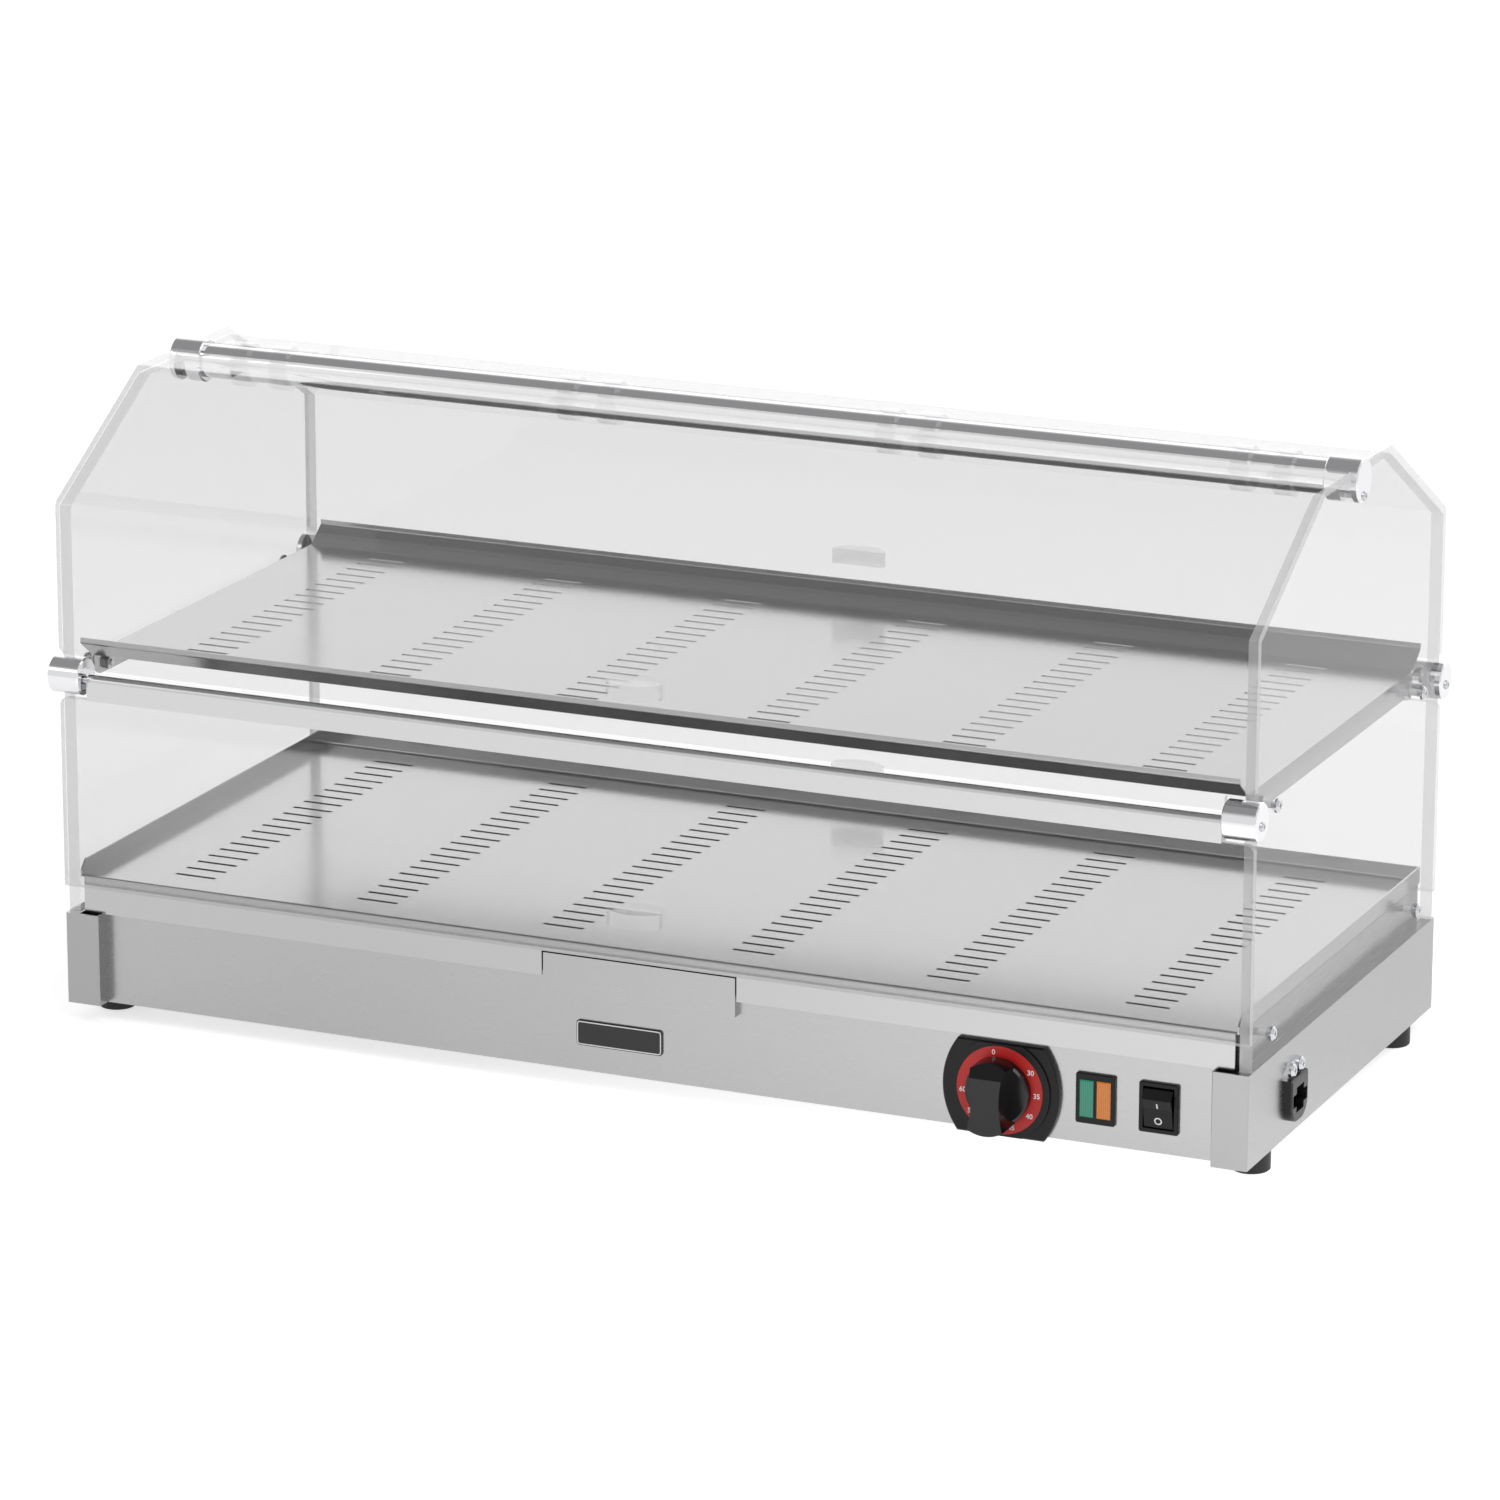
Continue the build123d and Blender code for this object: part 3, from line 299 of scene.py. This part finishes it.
finishes = {
    panel_steel: ["base_front_panel", "base_rear_panel", "base_bottom_plate", "drawer_front", "drawer_pan",
                  "drawer_runners", "heater_brackets"],
    side_steel_painted_darker: ["base_left_side", "base_right_side"],
    tray_steel: ["lower_tray", "upper_shelf"],
    chrome: ["top_tube", "top_cap_left", "top_cap_right", "rail_cap_front_left",
             "rail_cap_front_right", "rail_cap_rear_left", "rail_cap_rear_right"],
    zinc: ["front_rail_rod", "rear_rail_rod", "cap_screws", "side_pane_screws", "side_pane_nuts",
           "shelf_bolts", "shelf_bolt_nuts", "inlet_screws", "inlet_clamp", "thermostat_spindle",
           "heating_elements_left", "heating_elements_right", "thermostat_bulb"],
    anodised: ["lower_front_hinge_profile", "lower_rear_hinge_profile"],
    side_acrylic: ["left_side_pane", "right_side_pane"],
    flat_acrylic: ["lower_front_door", "lower_rear_door"],
    bent_acrylic: ["upper_front_door", "upper_rear_door"],
    acrylic_pull: ["upper_front_pull", "upper_rear_pull", "lower_front_pull", "lower_rear_pull"],
    acrylic_strap: ["upper_front_hinge_straps", "upper_rear_hinge_straps"],
    abs_black: ["dial_plate", "lamp_housing", "switch_housing", "switch_rocker"],
    phenolic: ["control_knob"],
    inlet_black: ["inlet_body"],
    foot_rubber: ["foot_front_left", "foot_front_right", "foot_rear_left", "foot_rear_right"],
    pale_plastic: ["thermostat_body", "terminal_block"],
    badge_black: ["badge_plate"],
    green_lens_painted_rib_light: ["green_lens"],
    orange_lens_painted_rib_light: ["orange_lens"],
}
for finish, names in finishes.items():
    for name in names:
        mesh = nodes[name].data
        mesh.materials.clear()
        mesh.materials.append(finish)

# Edges of the real pieces are broken by a fraction of a millimetre. On the clear panes the broken
# edge is drawn as a thin grey line of painted shade, for the light that a clear edge turns away.
panes = finishes[side_acrylic] + finishes[flat_acrylic] + finishes[bent_acrylic]
for name in panes:
    nodes[name].data.materials.append(arris_painted_shade)
edge_breaks = {  # width in mm
    1.4: ["control_knob"],
    0.5: panes + ["dial_plate", "inlet_body"],
    0.3: ["switch_rocker", "green_lens", "orange_lens", "lower_front_hinge_profile",
          "lower_rear_hinge_profile", "base_left_side", "base_right_side", "drawer_front"],
}
for size, names in edge_breaks.items():
    for name in names:
        bevel = nodes[name].modifiers.new("edge_break", "BEVEL")
        bevel.width = size * MM
        bevel.segments = 2
        bevel.limit_method = "ANGLE"
        bevel.angle_limit = math.radians(40)
        if name in panes:
            bevel.segments = 1
            bevel.material = 1


# Pieces that the panels carry

def mesh_piece(name, verts, faces, finish, body):
    """A mesh from points in metres, riding on a body."""
    mesh = bpy.data.meshes.new(name)
    mesh.from_pydata([tuple(v) for v in verts], [], faces)
    mesh.materials.append(finish)
    piece = bpy.data.objects.new(name, mesh)
    bpy.context.scene.collection.objects.link(piece)
    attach(piece, body)
    return piece


def band_piece(name, inner, outer, thick, finish, body):
    """A flat closed band between two loops of points that face the front, with its back on them."""
    verts, faces = [], []
    for near, far in zip(inner, outer):
        verts += [near, near - Vector((0, thick, 0)), far - Vector((0, thick, 0)), far]
    count = len(inner)
    for i in range(count):
        j = (i + 1) % count
        for k in range(4):
            m = (k + 1) % 4
            faces.append((4 * i + k, 4 * i + m, 4 * j + m, 4 * j + k))
    return mesh_piece(name, verts, faces, finish, body)


def circle(centre, radius, steps=96):
    """Points round a centre in the plane that faces the front, clockwise from the top."""
    angles = [2 * math.pi * i / steps for i in range(steps)]
    return [centre + Vector((radius * math.sin(a), 0, radius * math.cos(a))) for a in angles]


def rounded_box(centre, half_x, half_z, corner, steps=6):
    """Points round a box with round corners in the plane that faces the front, clockwise."""
    points = []
    for quarter, (side, level) in enumerate(((1, 1), (1, -1), (-1, -1), (-1, 1))):
        for i in range(steps + 1):
            a = math.pi / 2 * (quarter + i / steps)
            x = side * (half_x - corner) + corner * math.sin(a)
            z = level * (half_z - corner) + corner * math.cos(a)
            points.append(centre + Vector((x, 0, z)))
    return points


print_thick = 0.06 * MM


def printed(name, words, centre, height, finish, body, lean=0.0, bold=0.0):
    """Print 0.06 mm thick that faces the front, centred on a point; lean turns its face down, and
    bold widens each stroke on both sides."""
    text = bpy.data.curves.new(name, "FONT")
    text.body = words
    text.size = height
    text.align_x = "CENTER"
    text.align_y = "CENTER"
    text.extrude = print_thick / 2
    text.offset = bold
    text.resolution_u = 4
    text.materials.append(finish)
    piece = bpy.data.objects.new(name, text)
    bpy.context.scene.collection.objects.link(piece)
    piece.matrix_world = Matrix.Translation(centre) @ Matrix.Rotation(math.radians(90) + lean, 4, "X")
    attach(piece, body)
    return piece


def dial_scale():
    """The dial's red scale ring and its numbers, in degrees Celsius."""
    low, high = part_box("dial_plate")
    middle = Vector(((low.x + high.x) / 2, low.y, (low.z + high.z) / 2))
    ring_in, ring_out, ring_thick = 20.4 * MM, 27.9 * MM, 0.12 * MM
    print_radius, number_height, number_bold = 24.1 * MM, 4.5 * MM, 0.07 * MM
    print_lift = ring_thick + print_thick / 2
    band_piece(
        "dial_scale_ring", circle(middle, ring_in), circle(middle, ring_out), ring_thick, dial_red, "case")
    places = {"0": 350, "30": 56, "35": 92, "40": 126, "45": 161, "50": 196, "55": 230, "60": 264}
    for words, degrees in places.items():
        angle = math.radians(degrees)
        spot = middle + Vector((
            print_radius * math.sin(angle), -print_lift, print_radius * math.cos(angle)))
        printed(
            f"dial_number_{words}", words, spot, number_height, print_white, "case", bold=number_bold)


def rocker_marks():
    """The on and off marks, printed on the rocker's two front slopes."""
    low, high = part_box("switch_rocker")
    frame_low, frame_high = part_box("switch_housing")
    middle_x = (low.x + high.x) / 2
    middle_z = (frame_low.z + frame_high.z) / 2
    crest = frame_low.y - low.y
    half = middle_z - low.z
    crest_z, fold, wall = half * 0.5, crest * 0.4, 0.8 * MM
    upper_lean = math.atan2(crest - fold, crest_z)
    lower_lean = math.atan2(fold + wall, half)
    on_z, off_z, lift = 2.0 * MM, -8.3 * MM, 0.04 * MM
    on_height, on_bold, off_height, off_bold = 4.6 * MM, 0.26 * MM, 6.6 * MM, 0.1 * MM
    on_y = frame_low.y - fold - on_z * math.tan(upper_lean) - lift
    off_y = frame_low.y - fold - off_z * math.tan(lower_lean) - lift
    printed("rocker_on_mark", "I", Vector((middle_x, on_y, middle_z + on_z)), on_height, print_white,
            "switch_rocker", upper_lean, on_bold)
    printed("rocker_off_mark", "O", Vector((middle_x, off_y, middle_z + off_z)), off_height, print_white,
            "switch_rocker", lower_lean, off_bold)


def badge_rim():
    """A thin bright rim round the bare badge."""
    low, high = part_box("badge_plate")
    middle = Vector(((low.x + high.x) / 2, low.y, (low.z + high.z) / 2))
    inset, width, corner, thick = 0.7 * MM, 0.7 * MM, 2.0 * MM, 0.1 * MM
    half_x, half_z = (high.x - low.x) / 2 - inset, (high.z - low.z) / 2 - inset
    outer = rounded_box(middle, half_x, half_z, corner)
    inner = rounded_box(middle, half_x - width, half_z - width, corner - width)
    band_piece("badge_rim", inner, outer, thick, zinc, "case")


recess_thick = 0.04 * MM


def screw_recess(name, face, side, arm, width):
    """The cross recess of a screw whose head faces along X, drawn as a thin cross of painted shade on its
    face.
    """
    outline = []
    for y, z in ((1, 1), (1, -1), (-1, -1), (-1, 1)):
        corner = [(y * width, z * arm), (y * width, z * width), (y * arm, z * width)]
        outline += corner if y == z else corner[::-1]
    back = [face + Vector((0, y, z)) for y, z in outline]
    front = [point + Vector((side * recess_thick, 0, 0)) for point in back]
    count = len(outline)
    faces = [tuple(range(count)), tuple(range(2 * count - 1, count - 1, -1))]
    faces += [(i, i + count, (i + 1) % count + count, (i + 1) % count) for i in range(count)]
    mesh_piece(name, back + front, faces, recess_painted_shade, "case")


def screw_recesses():
    """Cross recesses, drawn as painted shade, of the panes' screws, the shelf's bolts, the clamp's screws
    and the caps' screws.
    """
    arm, width = 1.9 * MM, 0.35 * MM
    for node in ("side_pane_screws", "shelf_bolts"):
        low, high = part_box(node)
        radius = (high.z - low.z) / 2
        for side, side_name, x in ((-1, "left", low.x), (1, "right", high.x)):
            for end, y in (("front", low.y + radius), ("rear", high.y - radius)):
                face = Vector((x, y, low.z + radius))
                screw_recess(f"{node}_recess_{end}_{side_name}", face, side, arm, width)
    low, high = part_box("inlet_screws")
    radius = (high.z - low.z) / 2
    for end, y in (("front", low.y + radius), ("rear", high.y - radius)):
        screw_recess(f"inlet_screws_recess_{end}", Vector((high.x, y, low.z + radius)), 1, arm, width)
    low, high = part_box("cap_screws")
    radius, arm, width = 3.0 * MM, 1.3 * MM, 0.25 * MM
    spots = {"front": (low.y + radius, low.z + radius), "rear": (high.y - radius, low.z + radius),
             "top": ((low.y + high.y) / 2, high.z - radius)}
    for side, side_name, x in ((-1, "left", low.x), (1, "right", high.x)):
        for end, (y, z) in spots.items():
            screw_recess(f"cap_screws_recess_{end}_{side_name}", Vector((x, y, z)), side, arm, width)


dial_scale()
rocker_marks()
badge_rim()
screw_recesses()


# Stage, light and camera

def any_of(tree, ray, kinds):
    """1 where a ray is of any of the kinds that Light Path names."""
    seen = (ray, kinds[0])
    for kind in kinds[1:]:
        seen = (add(tree, "ShaderNodeMath", {0: seen, 1: (ray, kind)}, operation="MAXIMUM"), "Value")
    return seen


def studio_floor():
    """Pale floor that fades into the white surroundings, with a patch of light painted on it: brightest
    in front of the controls, where the front panel mirrors it."""
    made, tree = material("pale_studio_floor_painted_light")
    # Painted light: the floor's emission rises from 0.6 to 0.95 towards a spot in front of the controls.
    painted_pool_spot, painted_pool_core, painted_pool_reach = (0.38, -0.42, 0.0), 0.05, 0.7
    place = add(tree, "ShaderNodeTexCoord")
    away = add(tree, "ShaderNodeVectorMath", {0: (place, "Object"), 1: painted_pool_spot}, operation="DISTANCE")
    painted_light_pool = add(tree, "ShaderNodeMapRange", {
        "Value": (away, "Value"), "From Min": painted_pool_core, "From Max": painted_pool_reach,
        "To Min": 0.95, "To Max": 0.6}, interpolation_type="SMOOTHSTEP")
    ground = add(tree, "ShaderNodeBsdfDiffuse", {"Color": linear("#E6E6E6")})
    bright = add(tree, "ShaderNodeEmission", {"Color": linear("#FFFFFF"), "Strength": (painted_light_pool, "Result")})
    ray = add(tree, "ShaderNodeLightPath")
    seen = any_of(tree, ray, ("Is Camera Ray", "Is Glossy Ray", "Is Transmission Ray"))
    both = add(tree, "ShaderNodeAddShader", {0: (ground, "BSDF"), 1: (bright, "Emission")})
    mix = add(tree, "ShaderNodeMixShader", {0: seen, 1: (ground, "BSDF"), 2: (both, "Shader")})
    add(tree, "ShaderNodeOutputMaterial", {"Surface": (mix, "Shader")})
    size = 12.0
    mesh = bpy.data.meshes.new("studio_floor")
    corners = [(-size, -size, 0), (size, -size, 0), (size, size, 0), (-size, size, 0)]
    mesh.from_pydata(corners, [], [(0, 1, 2, 3)])
    mesh.materials.append(made)
    floor = bpy.data.objects.new("studio_floor", mesh)
    bpy.context.scene.collection.objects.link(floor)


def surroundings():
    """A white studio with a grey ceiling and a bright wall behind the case: plain white for the camera
    and through the panes, the ceiling and the wall for the metal to mirror, and a softer level that
    lights the rest."""
    world = bpy.data.worlds.new("white_studio")
    world.use_nodes = True
    tree = world.node_tree
    tree.nodes.clear()
    ray = add(tree, "ShaderNodeLightPath")
    place = add(tree, "ShaderNodeTexCoord")
    height = add(tree, "ShaderNodeSeparateXYZ", {0: (place, "Generated")})
    ceiling = add(tree, "ShaderNodeMapRange", {
        "Value": (height, "Z"), "From Min": 0.52, "From Max": 0.80, "To Min": 1.0, "To Max": 0.36},
        interpolation_type="SMOOTHSTEP")
    wall = add(tree, "ShaderNodeMapRange", {
        "Value": (height, "Y"), "From Min": 0.3, "From Max": 0.8, "To Min": 1.0, "To Max": 1.7},
        interpolation_type="SMOOTHSTEP")
    level = add(tree, "ShaderNodeMath", {0: (ceiling, "Result"), 1: (wall, "Result")}, operation="MULTIPLY")
    white = add(tree, "ShaderNodeBackground", {"Color": linear("#FFFFFF"), "Strength": 1.0})
    mirrored = add(tree, "ShaderNodeBackground", {
        "Color": linear("#FFFFFF"), "Strength": (level, "Value")})
    soft = add(tree, "ShaderNodeBackground", {"Color": linear("#FFFFFF"), "Strength": 0.55})
    direct = any_of(tree, ray, ("Is Camera Ray", "Is Transmission Ray"))
    shown = add(tree, "ShaderNodeMixShader", {0: direct, 1: (soft, "Background"), 2: (white, "Background")})
    whole = add(tree, "ShaderNodeMixShader", {
        0: (ray, "Is Glossy Ray"), 1: (shown, "Shader"), 2: (mirrored, "Background")})
    add(tree, "ShaderNodeOutputWorld", {"Surface": (whole, "Shader")})
    bpy.context.scene.world = world


def softbox(name, place, aim, size, watts):
    """A square area lamp that points at a spot."""
    lamp = bpy.data.lights.new(name, "AREA")
    lamp.shape = "SQUARE"
    lamp.size = size
    lamp.energy = watts
    box = bpy.data.objects.new(name, lamp)
    bpy.context.scene.collection.objects.link(box)
    box.location = place
    box.rotation_euler = (Vector(aim) - Vector(place)).to_track_quat("-Z", "Y").to_euler()


def photo_camera():
    """The photograph's camera, solved from the case's edges: the frame is 1500 x 1500 pixels."""
    azimuth, elevation, roll = math.radians(23.740), math.radians(16.094), 0.001874
    target, distance = Vector((0.0, 0.0, 0.1821)), 4.478
    frame_pixels, focal_pixels, sensor_mm = 1500, 7078.3, 36.0
    back = Vector((math.sin(azimuth) * math.cos(elevation), -math.cos(azimuth) * math.cos(elevation),
                   math.sin(elevation)))
    right = Vector((math.cos(azimuth), math.sin(azimuth), 0.0))
    up = back.cross(right)
    turned = right * math.cos(roll) + up * math.sin(roll)
    upright = up * math.cos(roll) - right * math.sin(roll)
    lens = bpy.data.cameras.new("photo_camera")
    lens.sensor_width = sensor_mm
    lens.lens = sensor_mm * focal_pixels / frame_pixels
    lens.clip_end = 60.0
    camera = bpy.data.objects.new("photo_camera", lens)
    bpy.context.scene.collection.objects.link(camera)
    axes = Matrix((turned, upright, back)).transposed().to_4x4()
    camera.matrix_world = Matrix.Translation(target + back * distance) @ axes
    bpy.context.scene.camera = camera


studio_floor()
surroundings()
softbox("key_softbox", (1.6, -1.4, 2.2), (0, 0, 0.2), 1.4, 20)
softbox("fill_softbox", (-2.2, -1.6, 1.3), (0, 0, 0.2), 1.6, 7)
softbox("top_softbox", (1.3, 0.5, 2.6), (0, 0, 0.2), 1.8, 11)
photo_camera()
bpy.context.scene.view_settings.view_transform = "Standard"
